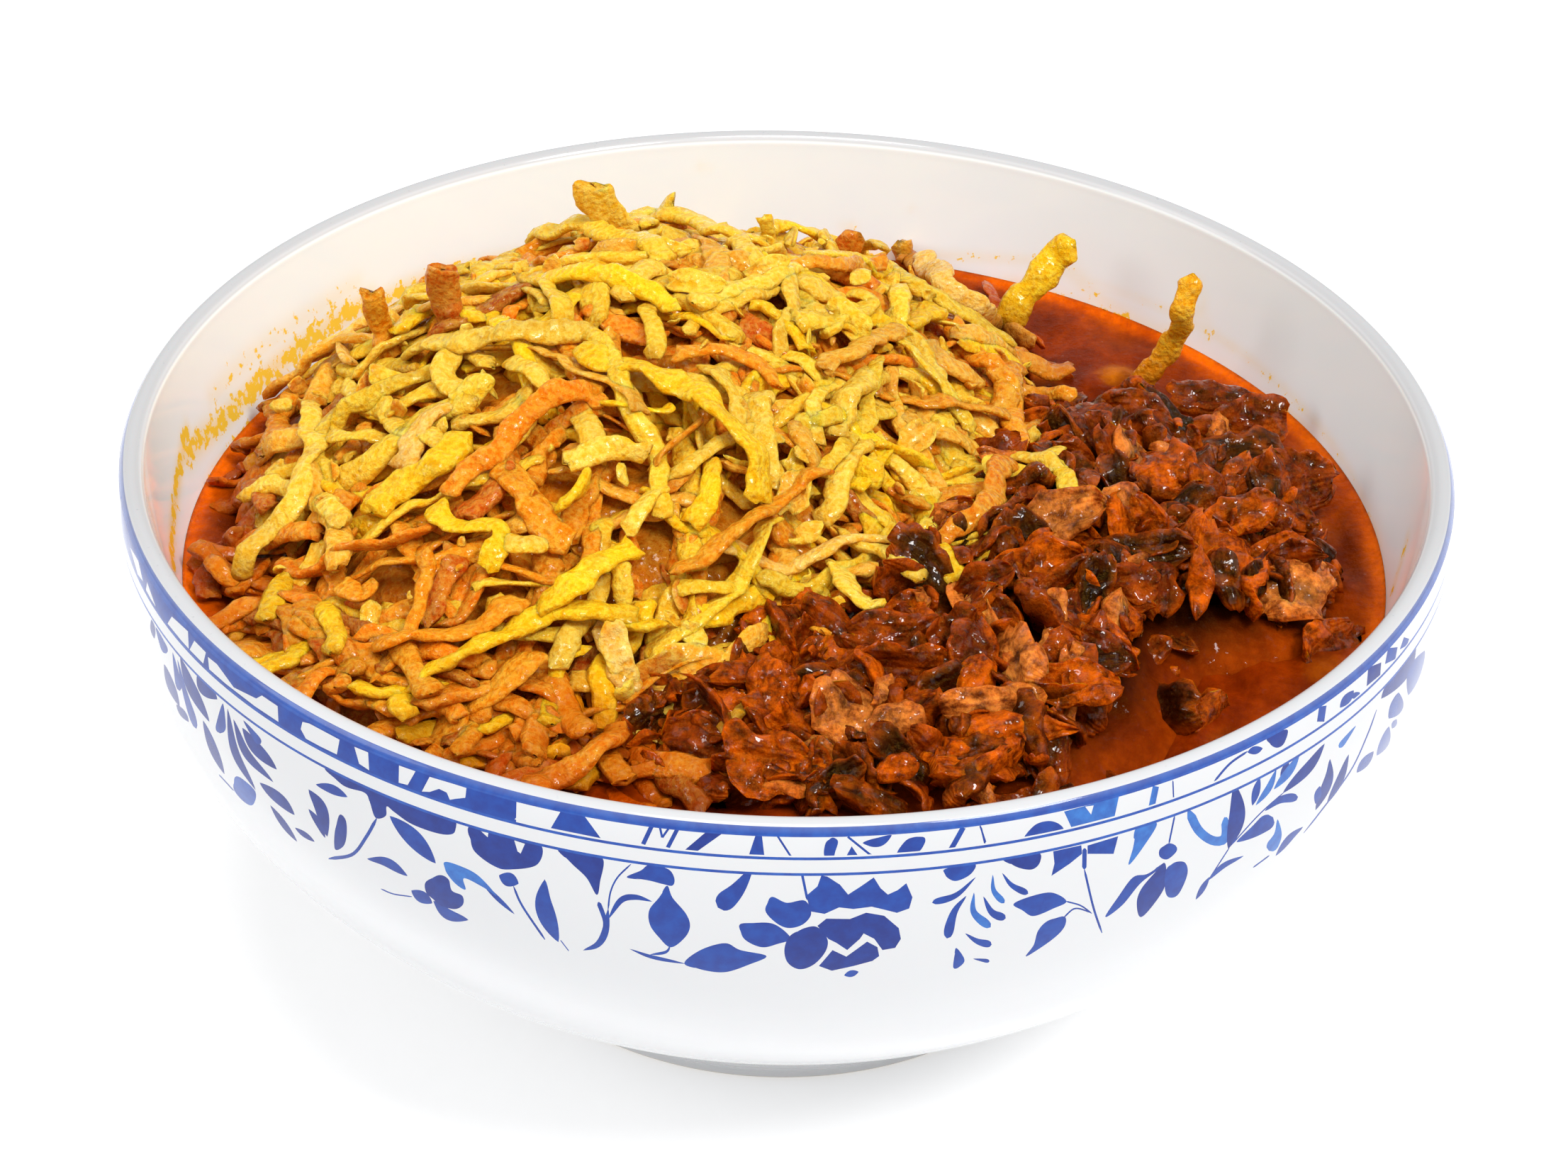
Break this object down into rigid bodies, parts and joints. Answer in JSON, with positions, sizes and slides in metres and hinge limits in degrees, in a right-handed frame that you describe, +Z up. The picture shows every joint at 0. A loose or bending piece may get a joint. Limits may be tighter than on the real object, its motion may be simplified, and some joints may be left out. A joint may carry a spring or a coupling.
{
  "type": "bowl of split pea meat stew",
  "caption": "Round porcelain bowl of split pea and meat stew, topped with a heap of fried potato straws and a heap of fried onion flakes.",
  "frame": {"origin": "middle of the foot ring's lower face, which is the bottom of the whole part", "axes": "+Z up through the middle of the bowl; -Y faces the viewer, with the potato heap at -X and the onion heap at +X"},
  "size_m": [0.1604, 0.1604, 0.0801],
  "materials": {
    "glazed_bowl": "gloss",
    "stew_sauce": "gloss",
    "fried_potato": "satin",
    "fried_onion": "gloss"
  },
  "bodies": {
    "root": {"bowl": "glazed_bowl", "stew": "stew_sauce", "fried_potato_heap": "fried_potato", "fried_onion_heap": "fried_onion", "upright_straw": "fried_potato", "yellow_straw": "fried_potato"}
  },
  "joints": []
}
